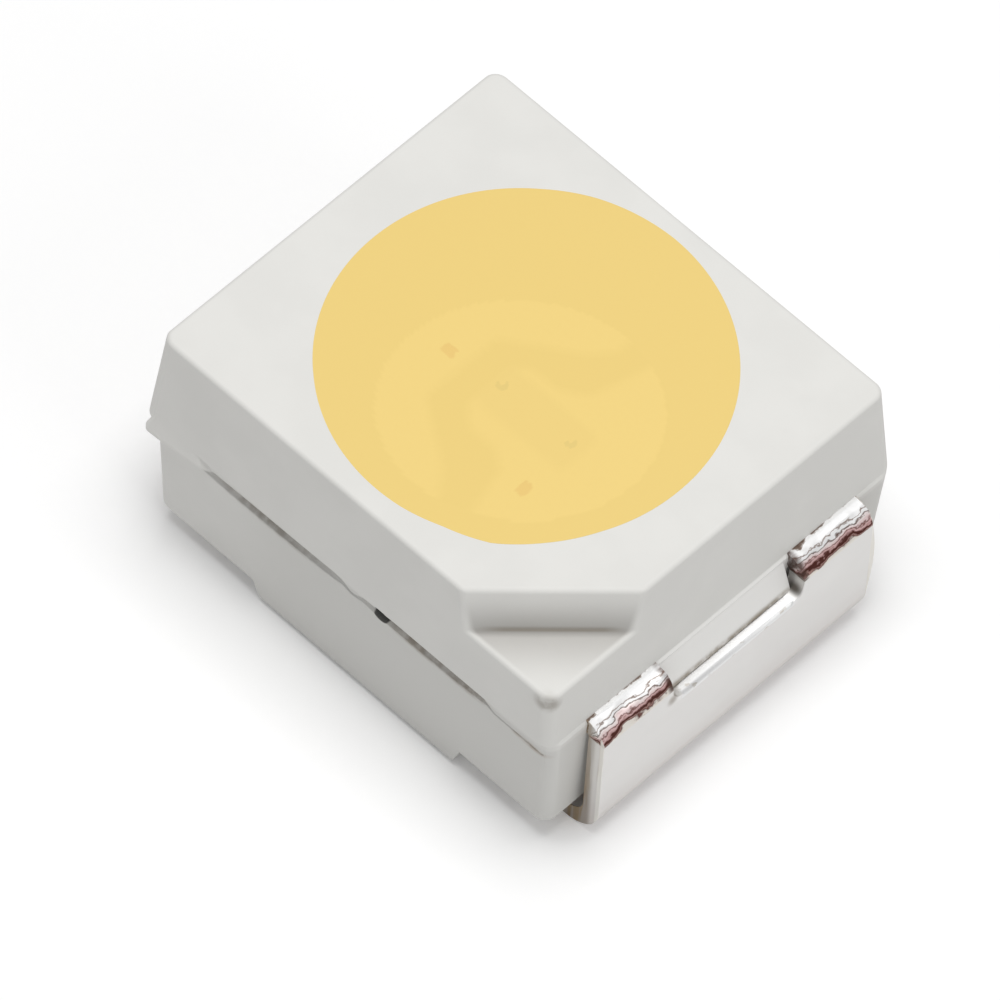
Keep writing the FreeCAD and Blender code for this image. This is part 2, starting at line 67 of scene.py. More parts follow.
level = math.cos(VIEW_ELEVATION)
back = Vector((math.sin(VIEW_AZIMUTH) * level, -math.cos(VIEW_AZIMUTH) * level, math.sin(VIEW_ELEVATION)))
right = Vector((0, 0, 1)).cross(back).normalized()
up = back.cross(right)
target = Vector((0, 0, TARGET_HEIGHT)) + right * TARGET_RIGHT + up * TARGET_UP
turn = Matrix.Rotation(VIEW_ROLL, 3, back)

bpy.ops.object.select_all(action="DESELECT")
bpy.ops.object.camera_add()
camera = bpy.context.object
camera.name = "photo_camera"
axes = Matrix((turn @ right, turn @ up, back)).transposed()
camera.matrix_world = Matrix.Translation(target + back * VIEW_DISTANCE) @ axes.to_4x4()
camera.data.sensor_width = SENSOR_WIDTH
camera.data.lens = FOCAL_PIXELS * SENSOR_WIDTH / PICTURE_PIXELS
camera.data.clip_start = 0.001
camera.data.clip_end = 10
bpy.context.scene.camera = camera
bpy.context.scene.view_settings.view_transform = "Standard"
print("camera at", [round(v * 1000, 1) for v in camera.location], "mm, lens", round(camera.data.lens, 1))

# %% [markdown]
# ## Working size
#
# Blender's tools join points that are closer than a tenth of a millimetre, which is a large step on
# a part this small. So each piece is modelled with one unit for a millimetre, and brought down to
# metres when it is finished. The sizes below are the package's own, measured from the board up.

# %% Name the package's sizes in millimetres
MM = 0.001

PARTING = 1.06
TOP = 1.80
STANDOFF = 0.04
BODY_END, BODY_SIDE = 1.60, 1.40
DRAFT = math.tan(math.radians(4.4))
TOP_END = BODY_END - (TOP - PARTING) * DRAFT
TOP_SIDE = BODY_SIDE - (TOP - PARTING) * DRAFT
LEAD_FACE = 1.75
THICKNESS = 0.12
LEAD_HALF = 1.09
SLOT_HALF = 0.53
SLOT_LOW = PARTING - 0.25
CUP_TOP, CUP_FLOOR = 1.20, 0.85

# %% [markdown]
# ## Helpers for edit mode
#
# Faces and edges are picked by a test on their place, as one would click them. An outline is drawn
# by extruding a single point from corner to corner, filled, and extruded into a prism. A boolean
# joins two pieces or cuts one by another, as the mould's inserts did.

# %% Pick parts of a mesh by their place
def work_on(piece, mode="OBJECT"):
    """Make one piece the only selected one, and switch to object or edit mode."""
    if bpy.context.object and bpy.context.object.mode != "OBJECT":
        bpy.ops.object.mode_set(mode="OBJECT")
    bpy.ops.object.select_all(action="DESELECT")
    piece.select_set(True)
    bpy.context.view_layer.objects.active = piece
    bpy.ops.object.mode_set(mode=mode)


def middle(item):
    """The middle of a face or an edge."""
    return sum((corner.co for corner in item.verts), Vector()) / len(item.verts)


def run(edge):
    """How far an edge runs along each axis."""
    step = edge.verts[1].co - edge.verts[0].co
    return Vector((abs(step.x), abs(step.y), abs(step.z)))


def heights(edge):
    """The heights of an edge's two ends."""
    return [corner.co.z for corner in edge.verts]


def near(value, goal):
    """Whether a size is within a thousandth of a millimetre of another."""
    return abs(value - goal) < 0.001


def pick(piece, kind, chosen):
    """In edit mode, select the vertices, edges or faces that a test accepts."""
    bpy.ops.mesh.select_mode(type=kind)
    bpy.ops.mesh.select_all(action="DESELECT")
    cage = bmesh.from_edit_mesh(piece.data)
    items = {"VERT": cage.verts, "EDGE": cage.edges, "FACE": cage.faces}[kind]
    found = [item for item in items if chosen(item)]
    for item in found:
        item.select_set(True)
    cage.select_flush_mode()
    bmesh.update_edit_mesh(piece.data)
    return len(found)


# %% Draw prisms and combine pieces
def in_space(axis, first, second, along):
    """A point from its two outline coordinates and its place along the prism's axis."""
    orders = {"X": (along, first, second), "Y": (first, along, second), "Z": (first, second, along)}
    return Vector(orders[axis])


def draw_prism(name, axis, corners, start, end):
    """Draw an outline by extruding one vertex, fill it, and extrude it along an axis."""
    places = [in_space(axis, first, second, start) for first, second in corners]
    bpy.ops.object.select_all(action="DESELECT")
    bpy.ops.mesh.primitive_plane_add(size=0.1, location=places[0])
    piece = bpy.context.object
    piece.name = name
    bpy.ops.object.transform_apply()
    bpy.ops.object.mode_set(mode="EDIT")
    bpy.ops.mesh.select_mode(type="VERT")
    bpy.ops.mesh.select_all(action="SELECT")
    bpy.ops.mesh.merge(type="CENTER")
    for here, there in zip(places, places[1:] + places[:1]):
        bpy.ops.mesh.extrude_vertices_move(TRANSFORM_OT_translate={"value": there - here})
    bpy.ops.mesh.select_all(action="SELECT")
    bpy.ops.mesh.remove_doubles(threshold=0.0001)
    bpy.ops.mesh.edge_face_add()
    bpy.ops.mesh.extrude_region_move(TRANSFORM_OT_translate={"value": in_space(axis, 0, 0, end - start)})
    bpy.ops.mesh.select_all(action="SELECT")
    bpy.ops.mesh.normals_make_consistent(inside=False)
    bpy.ops.object.mode_set(mode="OBJECT")
    return piece


def combine(piece, tool, operation, keep=False):
    """Join a piece with a tool, or cut it by the tool, and remove the tool."""
    work_on(piece)
    modifier = piece.modifiers.new("combine", "BOOLEAN")
    modifier.operation = operation
    modifier.solver = "EXACT"
    modifier.object = tool
    bpy.ops.object.modifier_apply(modifier=modifier.name)
    if not keep:
        bpy.data.objects.remove(tool)


# %% [markdown]
# ## Housing: the two drafted halves
#
# The housing is moulded in white polyamide in a mould that parts at the lead frame. Both halves get
# narrower away from that plane, or the part wouldn't leave the mould. The halves of this one didn't
# meet quite true: the lower is two hundredths of a millimetre smaller and sits a little towards the
# cathode, so the upper hangs over it. A cube makes the upper half, its lower face is extruded into the
# lower half, the end face behind the cathode's plate is set more upright, and the upright edges are
# rounded together.

# %% Block out the moulding
UPPER_SHRINK = (TOP_END / BODY_END, TOP_SIDE / BODY_SIDE, 1)
LIP = 0.020
LIP_SHRINK = (1 - LIP / BODY_END, 1 - LIP / BODY_SIDE, 1)
MOULD_SHIFT = Vector((0.034, 0.0, 0.0))
LIP_DROP = Vector((0, 0, -LIP))
BODY_DROP = Vector((0, 0, STANDOFF - PARTING + LIP))
CORNER_ROUND = 0.08
BOTTOM_INSET = (PARTING - STANDOFF) * DRAFT - LIP
UPRIGHT_END = 0.040
LOWER_SHRINK = (1 - BOTTOM_INSET / BODY_END, 1 - BOTTOM_INSET / BODY_SIDE, 1)

bpy.ops.object.select_all(action="DESELECT")
bpy.ops.mesh.primitive_cube_add(
    size=1, location=(0, 0, (TOP + PARTING) / 2), scale=(BODY_END * 2, BODY_SIDE * 2, TOP - PARTING)
)
housing = bpy.context.object
housing.name = "moulded_housing"
bpy.ops.object.transform_apply()
work_on(housing, "EDIT")
pick(housing, "FACE", lambda face: face.normal.z > 0.9)
bpy.ops.transform.resize(value=UPPER_SHRINK, center_override=(0, 0, TOP))
pick(housing, "FACE", lambda face: face.normal.z < -0.9)
bpy.ops.mesh.extrude_region_move(TRANSFORM_OT_translate={"value": LIP_DROP + MOULD_SHIFT})
bpy.ops.transform.resize(value=LIP_SHRINK, center_override=MOULD_SHIFT + Vector((0, 0, PARTING - LIP)))
bpy.ops.mesh.extrude_region_move(TRANSFORM_OT_translate={"value": BODY_DROP - MOULD_SHIFT})
bpy.ops.transform.resize(value=LOWER_SHRINK, center_override=(0, 0, STANDOFF))
pick(housing, "VERT", lambda corner: corner.co.z < STANDOFF + 0.01 and corner.co.x > 0)
bpy.ops.transform.translate(value=(UPRIGHT_END, 0, 0))


def is_upright(edge):
    """Whether an edge runs up or down the body."""
    return run(edge).z > 0.2 * run(edge).length


pick(housing, "EDGE", is_upright)
bpy.ops.mesh.bevel(offset=CORNER_ROUND, segments=8, affect="EDGES")
bpy.ops.object.mode_set(mode="OBJECT")
print("moulding blocked out,", len(housing.data.polygons), "faces")

# %% [markdown]
# ## Housing: the cathode mark, the undercuts and the slot fillers
#
# One top corner is cut away down to a ledge, to show where the cathode is. Underneath, both ends are
# raised to make room for the feet: the cathode's end a little higher, the anode's from further in.
# Between each lead's two shoulders the plastic has flowed into the lead's slot as a small slope. The
# mark and the undercuts are cut, and the slopes are joined on.

# %% Cut the mark and the undercuts, and add the slopes
MARK_ALONG, MARK_ACROSS, MARK_DEPTH = 0.71, 0.73, 0.31
MARK_LEAN = math.tan(math.radians(11.8))
MIDDLE_ENDS = {1: 0.82, -1: 0.70}
RELIEF_TOPS = {1: 0.195, -1: 0.17}
RELIEF_LEAN = math.tan(math.radians(20))
SLOT_START = 1.38
SLOPE_OUT = 0.085
SLOPE_LOW = SLOT_LOW + 0.012
SLOPE_FRONT, SLOPE_BACK = -SLOT_HALF + 0.012, SLOT_HALF - 0.040

mark = draw_prism("mark_cutter", "Z", [
    (TOP_END - MARK_ALONG * 1.5, -TOP_SIDE - MARK_ACROSS / 2),
    (TOP_END + MARK_ALONG / 2, -TOP_SIDE - MARK_ACROSS / 2),
    (TOP_END + MARK_ALONG / 2, -TOP_SIDE + MARK_ACROSS * 1.5),
], TOP - MARK_DEPTH, TOP + MARK_DEPTH)
work_on(mark, "EDIT")
outwards = Vector((MARK_ACROSS, -MARK_ALONG, 0)).normalized()
pick(mark, "VERT", lambda corner: corner.co.z < TOP)
bpy.ops.transform.translate(value=outwards * MARK_DEPTH * MARK_LEAN)
pick(mark, "VERT", lambda corner: corner.co.z > TOP)
bpy.ops.transform.translate(value=-outwards * MARK_DEPTH * MARK_LEAN)
bpy.ops.object.mode_set(mode="OBJECT")
combine(housing, mark, "DIFFERENCE")

for side in (1, -1):
    middle_end, relief = MIDDLE_ENDS[side], RELIEF_TOPS[side]
    lean = relief * RELIEF_LEAN
    undercut = draw_prism("undercut_cutter", "Y", [
        (side * (middle_end - lean), -relief), (side * (middle_end + lean), relief),
        (side * LEAD_FACE, relief), (side * LEAD_FACE, -relief),
    ], -LEAD_FACE, LEAD_FACE)
    combine(housing, undercut, "DIFFERENCE")

for side in (1, -1):
    slope = draw_prism("slot_filler", "Y", [
        (side * SLOT_START, PARTING), (side * BODY_END, PARTING),
        (side * (BODY_END + SLOPE_OUT), SLOPE_LOW), (side * SLOT_START, SLOPE_LOW),
    ], SLOPE_FRONT, SLOPE_BACK)
    combine(housing, slope, "UNION")
print("mark, undercuts and slopes made,", len(housing.data.polygons), "faces")

# %% [markdown]
# ## Housing: rounded edges, then the cup
#
# A mould can't make a sharp outer edge. The narrow rounding round the top is what draws the bright
# line along it in the light. The edges are picked by the angle between their two faces. They are
# rounded before the reflector cup is cut, while the top is still one clean face. The cup's cutter is
# a cone that reaches above the rim and a trifle under the pads' top, so that no two faces share a
# plane.
# The rim isn't quite a circle: a row gives its offset at each turn, and it runs out by a few
# hundredths of a millimetre at the back and nearest the mark.

# %% Round the edges and cut the cup
LEDGE = TOP - MARK_DEPTH
TOP_ROUND, UNDER_ROUND = 0.028, 0.012
HIGHEST_RELIEF = max(RELIEF_TOPS.values())
CUP_RISE = 0.2
FLOOR_DROP = 0.002
RIM = [
    (0, 0.006), (30, 0.014), (90, 0.024), (115, 0.018), (130, 0.004), (180, -0.006), (230, -0.012),
    (250, -0.004), (280, 0.006), (292, 0.004), (306, 0.034), (320, 0.016), (335, 0.004), (360, 0.006),
]


def is_sharp(edge, least):
    """Whether an edge's two faces meet at more than an angle in degrees."""
    return len(edge.link_faces) == 2 and edge.calc_face_angle() > math.radians(least)


def rim_offset(turn):
    """How far the rim lies outside its circle at a turn in degrees."""
    for (start, low), (end, high) in zip(RIM, RIM[1:]):
        if turn <= end:
            return low + (high - low) * (turn - start) / (end - start)


def make_uneven(piece):
    """Move the rim's points in or out, and the points below and inside it by less."""
    for corner in piece.data.vertices:
        level = (corner.co.z - PARTING) / (TOP - PARTING)
        flat = Vector((corner.co.x, corner.co.y, 0))
        wall = CUP_FLOOR + (CUP_TOP - CUP_FLOOR) * level
        turn = math.degrees(math.atan2(flat.y, flat.x)) % 360
        if flat.length > 0.001:
            corner.co += flat.normalized() * rim_offset(turn) * level * (flat.length / wall) ** 8


work_on(housing, "EDIT")
pick(housing, "EDGE", lambda edge: is_sharp(edge, 25) and min(heights(edge)) > LEDGE - 0.01)
bpy.ops.mesh.bevel(offset=TOP_ROUND, segments=8, affect="EDGES")
pick(housing, "EDGE", lambda edge: is_sharp(edge, 25) and max(heights(edge)) < HIGHEST_RELIEF + 0.01)
bpy.ops.mesh.bevel(offset=UNDER_ROUND, segments=6, affect="EDGES")
bpy.ops.object.mode_set(mode="OBJECT")

bpy.ops.object.select_all(action="DESELECT")
bpy.ops.mesh.primitive_cone_add(
    vertices=192, radius1=CUP_FLOOR, depth=TOP - PARTING + CUP_RISE + FLOOR_DROP,
    radius2=CUP_TOP + (CUP_TOP - CUP_FLOOR) * CUP_RISE / (TOP - PARTING),
    location=(0, 0, (TOP + PARTING + CUP_RISE - FLOOR_DROP) / 2)
)
cup = bpy.context.object
bpy.ops.object.transform_apply()
make_uneven(cup)
combine(housing, cup, "DIFFERENCE")
print("edges rounded and cup cut,", len(housing.data.polygons), "faces")

# %% [markdown]
# ## Housing: the parting seam, the tie bar's pit and the flash
#
# The mould's halves leave a line round the part. At the front it is open: a shallow groove that
# steps down near the middle, gets wider towards the corner and ends there. A tie bar of the lead
# frame was broken off next to it, which left a small dark pit, and at the left corner a thin tongue
# of plastic was squeezed out. The groove's cutter is a diamond, extruded and resized from stop to
# stop. Each stop is a place along the part, a height and half an opening. The tongue is a flat prism
# whose top is extruded and drawn in, so that it runs out on the wall above.

# %% Cut the seam and the pit, and add the flash
SEAM_STOPS = [
    (-1.45, 0.955, 0.012), (-1.15, 0.952, 0.034), (-0.80, 0.955, 0.044), (-0.30, 0.968, 0.042),
    (-0.10, 0.980, 0.038), (-0.03, 0.984, 0.026), (0.03, 0.948, 0.016), (0.07, 0.950, 0.016),
    (0.13, 0.977, 0.026), (0.22, 0.974, 0.034), (0.30, 0.975, 0.038), (0.60, 0.988, 0.048),
    (0.86, 1.003, 0.056), (1.06, 1.018, 0.056), (1.10, 0.990, 0.018), (1.17, 0.950, 0.010),
    (1.55, 0.940, 0.012),
]
SEAM_DEPTH = 1.6
SEAM_SIDE = -BODY_SIDE + LIP + 0.004
PIT, PIT_REACH = (0.270, SEAM_SIDE, 0.971), (0.057, 0.16, 0.052)
FLASH_LOW, FLASH_EDGE, FLASH_RISE = 0.966, 0.024, 0.220
FLASH_ROUND = 0.018
FLASH_MIDDLE, FLASH_DRAWN_IN = (-1.35, -1.30, 0), 0.60
FLASH_OUTLINE = [
    (-1.550, -1.340), (-1.572, -1.405), (-1.540, -1.436), (-1.440, -1.432), (-1.300, -1.420),
    (-1.140, -1.410), (-1.020, -1.340),
]

bpy.ops.object.select_all(action="DESELECT")
bpy.ops.mesh.primitive_circle_add(vertices=4, radius=1, fill_type="NGON", rotation=(0, math.radians(90), 0))
seam = bpy.context.object
seam.name = "seam_cutter"
bpy.ops.object.transform_apply()
work_on(seam, "EDIT")
bpy.ops.mesh.select_all(action="SELECT")
place = Vector((SEAM_STOPS[0][0], SEAM_SIDE, SEAM_STOPS[0][1]))
size = SEAM_STOPS[0][2]
bpy.ops.transform.resize(value=(1, size * SEAM_DEPTH, size), center_override=(0, 0, 0))
bpy.ops.transform.translate(value=place)
for along, height, opening in SEAM_STOPS[1:]:
    step = Vector((along, SEAM_SIDE, height)) - place
    bpy.ops.mesh.extrude_region_move(TRANSFORM_OT_translate={"value": step})
    place, growth, size = place + step, opening / size, opening
    bpy.ops.transform.resize(value=(1, growth, growth), center_override=place)
bpy.ops.mesh.select_all(action="SELECT")
bpy.ops.mesh.normals_make_consistent(inside=False)
bpy.ops.object.mode_set(mode="OBJECT")
combine(housing, seam, "DIFFERENCE")

bpy.ops.object.select_all(action="DESELECT")
bpy.ops.mesh.primitive_uv_sphere_add(segments=20, ring_count=12, location=PIT, scale=PIT_REACH)
pit = bpy.context.object
bpy.ops.object.transform_apply()
combine(housing, pit, "DIFFERENCE")

flash = draw_prism("flash_tongue", "Z", FLASH_OUTLINE, FLASH_LOW, FLASH_LOW + FLASH_EDGE)
work_on(flash, "EDIT")
pick(flash, "EDGE", lambda edge: middle(edge).y < -BODY_SIDE and run(edge).z > 0.01)
bpy.ops.mesh.bevel(offset=FLASH_ROUND, segments=4, affect="EDGES")
pick(flash, "FACE", lambda face: face.normal.z > 0.9)
bpy.ops.mesh.extrude_region_move(TRANSFORM_OT_translate={"value": (0, 0, FLASH_RISE)})
bpy.ops.transform.resize(value=(FLASH_DRAWN_IN, FLASH_DRAWN_IN, 1), center_override=FLASH_MIDDLE)
bpy.ops.object.mode_set(mode="OBJECT")
combine(housing, flash, "UNION")
print("seam, pit and flash made,", len(housing.data.polygons), "faces")

# %% [markdown]
# ## Leads
#
# The lead frame is stamped from copper strip 0.12 mm thick and plated with silver. Outside the
# housing each lead is bent down and then in under the body. Its outer end is drawn here as it was
# made: a flat strip whose end face is extruded and spun round each bend. The slot between the
# shoulders was punched before the bend, so it runs over it, and its edge on the outer face is
# rounded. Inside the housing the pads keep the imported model's own outline, so that end is a copy of
# the node, joined on where the strip starts.

# %% Bend a lead and punch its slot
TOP_BEND, FOOT_BEND = 0.01, 0.13
FOOT_LENGTH = 0.80
STRIP_START = 1.30
START_OF_BEND = LEAD_FACE - THICKNESS - TOP_BEND
FOOT_START = THICKNESS + FOOT_BEND
STRIP_LOW = PARTING - THICKNESS
END_OF_BEND = STRIP_LOW - TOP_BEND
PLATE_HEIGHT = END_OF_BEND - FOOT_START
SLOT_CORNER, SLOT_ROLL = 0.10, 0.034
QUARTER = math.radians(90)


def make_outer_lead(name):
    """The cathode's outer end: a flat strip, bent down and then in under the body."""
    lead = draw_prism(name, "X", [
        (-LEAD_HALF, STRIP_LOW), (LEAD_HALF, STRIP_LOW), (LEAD_HALF, PARTING), (-LEAD_HALF, PARTING)
    ], STRIP_START, START_OF_BEND)
    foot_centre = (LEAD_FACE - FOOT_START, 0, FOOT_START)
    work_on(lead, "EDIT")
    pick(lead, "FACE", lambda face: face.normal.x > 0.9)
    bpy.ops.mesh.spin(steps=12, angle=-QUARTER, center=(START_OF_BEND, 0, END_OF_BEND), axis=(0, 1, 0))
    bpy.ops.mesh.extrude_region_move(TRANSFORM_OT_translate={"value": (0, 0, -PLATE_HEIGHT)})
    bpy.ops.mesh.spin(steps=16, angle=-QUARTER, center=foot_centre, axis=(0, 1, 0))
    bpy.ops.mesh.extrude_region_move(TRANSFORM_OT_translate={"value": (FOOT_START - FOOT_LENGTH, 0, 0)})
    bpy.ops.object.mode_set(mode="OBJECT")

    slot = draw_prism("slot_punch", "X", [
        (-SLOT_HALF, SLOT_LOW), (SLOT_HALF, SLOT_LOW), (SLOT_HALF, TOP), (-SLOT_HALF, TOP)
    ], SLOT_START, LEAD_FACE + THICKNESS)
    work_on(slot, "EDIT")
    pick(slot, "EDGE", lambda edge: middle(edge).z < SLOT_LOW + 0.01 and run(edge).x > 0.1)
    bpy.ops.mesh.bevel(offset=SLOT_CORNER, segments=8, affect="EDGES")
    bpy.ops.object.mode_set(mode="OBJECT")
    combine(lead, slot, "DIFFERENCE")
    work_on(lead, "EDIT")
    pick(lead, "EDGE", lambda edge: near(middle(edge).z, SLOT_LOW) and near(middle(edge).x, LEAD_FACE))
    bpy.ops.mesh.bevel(offset=SLOT_ROLL, segments=5, affect="EDGES")
    bpy.ops.object.mode_set(mode="OBJECT")
    return lead


def join_pad(outer, node, side):
    """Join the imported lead's inner end to the outer end."""
    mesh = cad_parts[node].data.copy()
    mesh.transform(Matrix.Scale(1 / MM, 4))
    pad = bpy.data.objects.new(f"{node}_pad", mesh)
    bpy.context.scene.collection.objects.link(pad)
    work_on(pad, "EDIT")
    bpy.ops.mesh.select_all(action="SELECT")
    bpy.ops.mesh.remove_doubles(threshold=0.0005)
    bpy.ops.mesh.dissolve_limited(angle_limit=math.radians(1))
    bpy.ops.mesh.select_all(action="SELECT")
    bpy.ops.mesh.bisect(plane_co=(side * STRIP_START, 0, 0), plane_no=(side, 0, 0), clear_outer=True)
    pick(pad, "VERT", lambda corner: corner.co.z < PARTING / 2)
    bpy.ops.mesh.delete(type="VERT")
    bpy.ops.object.mode_set(mode="OBJECT")
    work_on(outer, "EDIT")
    pick(outer, "FACE", lambda face: near(middle(face).x, side * STRIP_START))
    bpy.ops.mesh.delete(type="ONLY_FACE")
    bpy.ops.object.mode_set(mode="OBJECT")
    pad.select_set(True)
    bpy.ops.object.join()
    work_on(outer, "EDIT")
    bpy.ops.mesh.select_all(action="SELECT")
    bpy.ops.mesh.remove_doubles(threshold=0.0005)
    bpy.ops.mesh.normals_make_consistent(inside=False)
    print(node, "open edges:", pick(outer, "EDGE", lambda edge: len(edge.link_faces) != 2))
    bpy.ops.object.mode_set(mode="OBJECT")


cathode_lead = make_outer_lead("cathode_lead_fine")
work_on(cathode_lead)
bpy.ops.object.duplicate()
anode_lead = bpy.context.object
anode_lead.name = "anode_lead_fine"
anode_lead.scale.x = -1
bpy.ops.object.transform_apply()
join_pad(cathode_lead, "cathode_lead", 1)
join_pad(anode_lead, "anode_lead", -1)

# %% [markdown]
# ## Leads: uneven edges
#
# The plates weren't sheared quite straight. The far edge of the cathode's bulges a little in the
# middle: the edge is divided and its points are moved out along a half wave. The anode's is a trifle
# narrower at the front, where the housing hides it.

# %% Move the edges of the plates
BULGE, NARROWER = 0.035, 0.025
work_on(cathode_lead, "EDIT")
pick(cathode_lead, "EDGE", lambda edge: near(middle(edge).y, LEAD_HALF) and run(edge).z > PLATE_HEIGHT * 0.9)
bpy.ops.mesh.subdivide(number_cuts=9)
bpy.ops.object.mode_set(mode="OBJECT")
for corner in cathode_lead.data.vertices:
    if near(corner.co.y, LEAD_HALF) and corner.co.x > LEAD_FACE - THICKNESS - 0.001:
        share = (corner.co.z - FOOT_START) / PLATE_HEIGHT
        corner.co.y += BULGE * math.sin(math.pi * min(max(share, 0), 1))
for corner in anode_lead.data.vertices:
    if near(corner.co.y, -LEAD_HALF) and corner.co.x < -BODY_END:
        corner.co.y += NARROWER
print("plates", round(PLATE_HEIGHT, 3), "mm high, bulging by", BULGE)

# %% [markdown]
# ## Leads: crinkled shoulders
#
# The plating creased where the strip was bent over the tool. The long edges of each shoulder's
# bend are divided, and their points are pressed in by a few thousandths of a millimetre, in waves
# that run along the bend. Only inwards, so that the lead stays within its size.

# %% Crinkle the shoulders
CREASES = 48
CREASE_DEPTH = 0.012
WAVES_ROUND, WAVES_ALONG = 1.6, 3.0
FIRST_TURN, LAST_TURN = 0.10, 0.98


def is_on_bend(point, side):
    """Whether a point lies on the outside of the upper bend."""
    return side * point.x > START_OF_BEND + 0.002 and point.z > END_OF_BEND + 0.002


for lead, side in ((cathode_lead, 1), (anode_lead, -1)):
    work_on(lead, "EDIT")
    pick(lead, "EDGE", lambda edge: run(edge).y > 0.4
         and all(is_on_bend(corner.co, side) for corner in edge.verts))
    bpy.ops.mesh.subdivide(number_cuts=CREASES)
    bpy.ops.object.mode_set(mode="OBJECT")
    moved = 0
    for corner in lead.data.vertices:
        arm = Vector((side * corner.co.x - START_OF_BEND, 0, corner.co.z - END_OF_BEND))
        if not is_on_bend(corner.co, side) or arm.length < THICKNESS:
            continue
        if not FIRST_TURN < arm.x / arm.length < LAST_TURN:
            continue
        turn = math.atan2(arm.x, arm.z)
        arm.x *= side
        wave = fractal(Vector((turn * WAVES_ROUND, corner.co.y * WAVES_ALONG, side * 7.0)), 1.0, 2.0, 4)
        corner.co -= arm.normalized() * CREASE_DEPTH * min(max(0.5 + wave, 0), 1)
        moved += 1
    print(lead.name, "creased at", moved, "points")

# %% [markdown]
# ## Housing: the leads' way out
#
# The leads were in the mould when it was filled, so the plastic fits round them. The housing is cut
# by both leads, and they are kept.

# %% Cut the housing by the leads
for lead in (cathode_lead, anode_lead):
    combine(housing, lead, "DIFFERENCE", keep=True)
work_on(housing, "EDIT")
bpy.ops.mesh.select_all(action="SELECT")
bpy.ops.mesh.remove_doubles(threshold=0.0003)
bpy.ops.mesh.normals_make_consistent(inside=False)
print("housing open edges:", pick(housing, "EDGE", lambda edge: len(edge.link_faces) != 2))
bpy.ops.object.mode_set(mode="OBJECT")
print("leads fitted,", len(housing.data.polygons), "faces")

# %% [markdown]
# ## Filling
#
# The cup is filled with clear silicone that has yellow phosphor powder stirred into it. It is a
# frustum that fits the cup, flush with the rim. Its top is inset ring by ring to the middle, which
# gives it a fine net of points for the next step.

# %% Fill the cup
RINGS, RING_WIDTH = 58, 0.02
bpy.ops.object.select_all(action="DESELECT")
bpy.ops.mesh.primitive_cone_add(vertices=192, radius1=CUP_FLOOR, radius2=CUP_TOP, depth=TOP - PARTING,
                                location=(0, 0, (TOP + PARTING) / 2))
filling = bpy.context.object
filling.name = "phosphor_silicone"
bpy.ops.object.transform_apply()
work_on(filling, "EDIT")
pick(filling, "FACE", lambda face: face.normal.z > 0.9)
for ring in range(RINGS):
    bpy.ops.mesh.inset(thickness=RING_WIDTH)
bpy.ops.mesh.merge(type="CENTER")
bpy.ops.object.mode_set(mode="OBJECT")
make_uneven(filling)
print("filling has", len(filling.data.polygons), "faces")

# %% [markdown]
# ## Filling: what shows through it
#
# The powder hides nearly everything, but the pads under it still make it a little lighter, and the
# bond wires a little browner. From each point of the top, a few lines are followed down into the
# silicone, at the slant that light takes in it when it comes out towards the viewer. What they
# meet is kept on the points, and the material blends its colours by it. Of the wires only the low
# ends show, on the pads and on the chip. Past the cup's floor there is the sloping wall, which
# shows as a faint even share.

# %% Look into the silicone from each point of its top
VIEW_WAY = Vector((-0.655, 0.756, 0))
SLANT = VIEW_WAY * math.tan(math.radians(23.4)) - Vector((0, 0, 1))
ACROSS_VIEW = VIEW_WAY.cross(Vector((0, 0, 1)))
FLOOR_LONG, FLOOR_WIDE = 0.75, 0.82
WALL_SHARE = 0.15
HEIGHT_OVER_CHIP, HEIGHT_OVER_PADS = 1.24, 1.11
LINES, SCATTER = 7, 0.035
ROUND = [math.tau * line / LINES for line in range(LINES)]
SIDES = [Vector((math.cos(turn), math.sin(turn), 0)) * SCATTER for turn in ROUND]


def make_tree(*names):
    """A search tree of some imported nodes, in millimetres."""
    corners, faces = [], []
    for name in names:
        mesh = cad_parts[name].data
        faces += [[len(corners) + index for index in face.vertices] for face in mesh.polygons]
        corners += [corner.co / MM for corner in mesh.vertices]
    return BVHTree.FromPolygons(corners, faces)


def look_down(tree, start, lines, below=TOP):
    """The share of some lines from a point that meet the tree below a height."""
    places = [tree.ray_cast(start, line)[0] for line in lines]
    return sum(place is not None and place.z < below for place in places) / len(lines)


pads = make_tree("anode_lead", "cathode_lead")
chip = make_tree("led_chip")
wires = make_tree("anode_bond_wire", "cathode_bond_wire")
over_pads = filling.data.attributes.new("over_pads", "FLOAT", "POINT")
over_wires = filling.data.attributes.new("over_wires", "FLOAT", "POINT")
over_chip = filling.data.attributes.new("over_chip", "FLOAT", "POINT")
wide = [SLANT + side for side in SIDES]
narrow = [SLANT] + [SLANT + side * 0.4 for side in SIDES]
for number, corner in enumerate(filling.data.vertices):
    if corner.co.z < TOP - 0.001:
        continue
    beyond = corner.co + SLANT * (TOP - PARTING)
    off_floor = math.hypot(beyond.dot(VIEW_WAY) / FLOOR_LONG, beyond.dot(ACROSS_VIEW) / FLOOR_WIDE)
    on_chip = look_down(chip, corner.co, wide)
    height = HEIGHT_OVER_CHIP if on_chip > 0.5 else HEIGHT_OVER_PADS
    over_pads.data[number].value = look_down(pads, corner.co, wide) if off_floor < 1 else WALL_SHARE
    over_chip.data[number].value = on_chip
    over_wires.data[number].value = look_down(wires, corner.co, narrow, height)
print("points over wires:", sum(item.value > 0 for item in over_wires.data))
